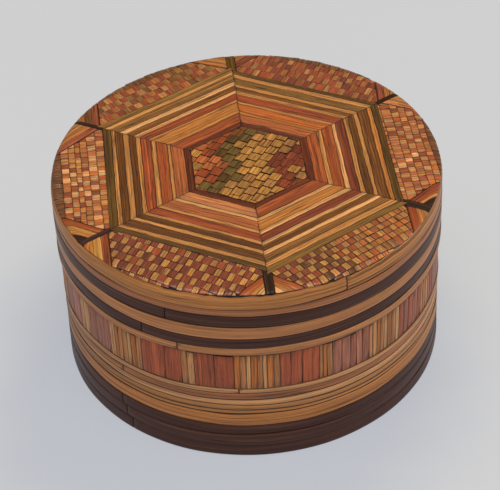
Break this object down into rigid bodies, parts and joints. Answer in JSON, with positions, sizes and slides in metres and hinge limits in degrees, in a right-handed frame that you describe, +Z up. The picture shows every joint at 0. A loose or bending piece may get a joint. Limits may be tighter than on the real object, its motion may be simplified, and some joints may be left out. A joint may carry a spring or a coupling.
{
  "type": "round lidded box",
  "caption": "Round lidded box of bent bark and wood, covered in flattened straw, with a hexagon of straw marquetry on its lift-off lid.",
  "frame": {"origin": "centre of the box's underside, on the surface it stands on", "axes": "+Z up along the box's axis; +X and +Y lie in the underside, and +X points at the right-hand side of the box as it is pictured"},
  "size_m": [0.14, 0.14, 0.077],
  "materials": {
    "pale_wood": "planed pale softwood",
    "bark_sleeve": "smooth inner birch bark",
    "hoop_wood": "bent splint",
    "dark_straw": "flattened straw, dark brown, satin",
    "tan_straw": "flattened straw, tan, satin",
    "plain_band_straw": "flattened straw laid lengthwise, tan and amber",
    "rose_straw": "flattened straw dyed rose brown, satin",
    "plain_straw": "flattened undyed straw, satin",
    "amber_straw": "flattened straw dyed amber, satin",
    "red_straw": "flattened straw dyed red, satin",
    "olive_straw": "flattened straw dyed olive, satin",
    "gold_straw": "flattened golden straw, satin",
    "maroon_straw": "flattened straw dyed maroon, satin",
    "border_straw": "flattened straw dyed dark red brown, satin",
    "terracotta_straw": "flattened straw dyed terracotta, satin",
    "orange_straw": "flattened straw dyed orange, satin",
    "brown_straw": "flattened straw dyed brown, satin",
    "golden_brown_straw": "flattened straw dyed golden brown, satin",
    "checker_straw": "small tiles of straw, red and gold in turn"
  },
  "bodies": {
    "base": {"base_board": "pale_wood", "base_hoop": "hoop_wood", "collar_sleeve": "bark_sleeve", "foot_band": "dark_straw", "straw_band": "plain_band_straw", "staves_rose": "rose_straw", "staves_straw": "plain_straw", "staves_amber": "amber_straw"},
    "lid": {"lid_board": "pale_wood", "lid_hoop": "hoop_wood", "lid_hem_strip": "tan_straw", "lid_dark_strip_lower": "dark_straw", "lid_tan_strip": "tan_straw", "lid_dark_strip_upper": "dark_straw", "lid_rim_strip": "tan_straw", "centre_field_red": "red_straw", "centre_field_olive": "olive_straw", "centre_field_gold": "gold_straw", "centre_field_maroon": "maroon_straw", "centre_border": "border_straw", "stripe_terracotta": "terracotta_straw", "stripe_tan_inner": "tan_straw", "stripe_orange": "orange_straw", "stripe_tan_second": "tan_straw", "stripe_maroon": "maroon_straw", "stripe_tan_third": "tan_straw", "stripe_brown": "brown_straw", "stripe_tan_fourth": "tan_straw", "stripe_golden": "golden_brown_straw", "stripe_tan_outer": "tan_straw", "stripe_olive": "olive_straw", "checker_bands": "checker_straw", "corner_spokes": "dark_straw", "corner_red_strips": "red_straw", "corner_gold_strips": "gold_straw"}
  },
  "joints": [
    {"name": "lid_lift", "type": "slide", "parent": "base", "child": "lid", "axis": [0, 0, 1], "range_m": [0, 0.06]}
  ]
}
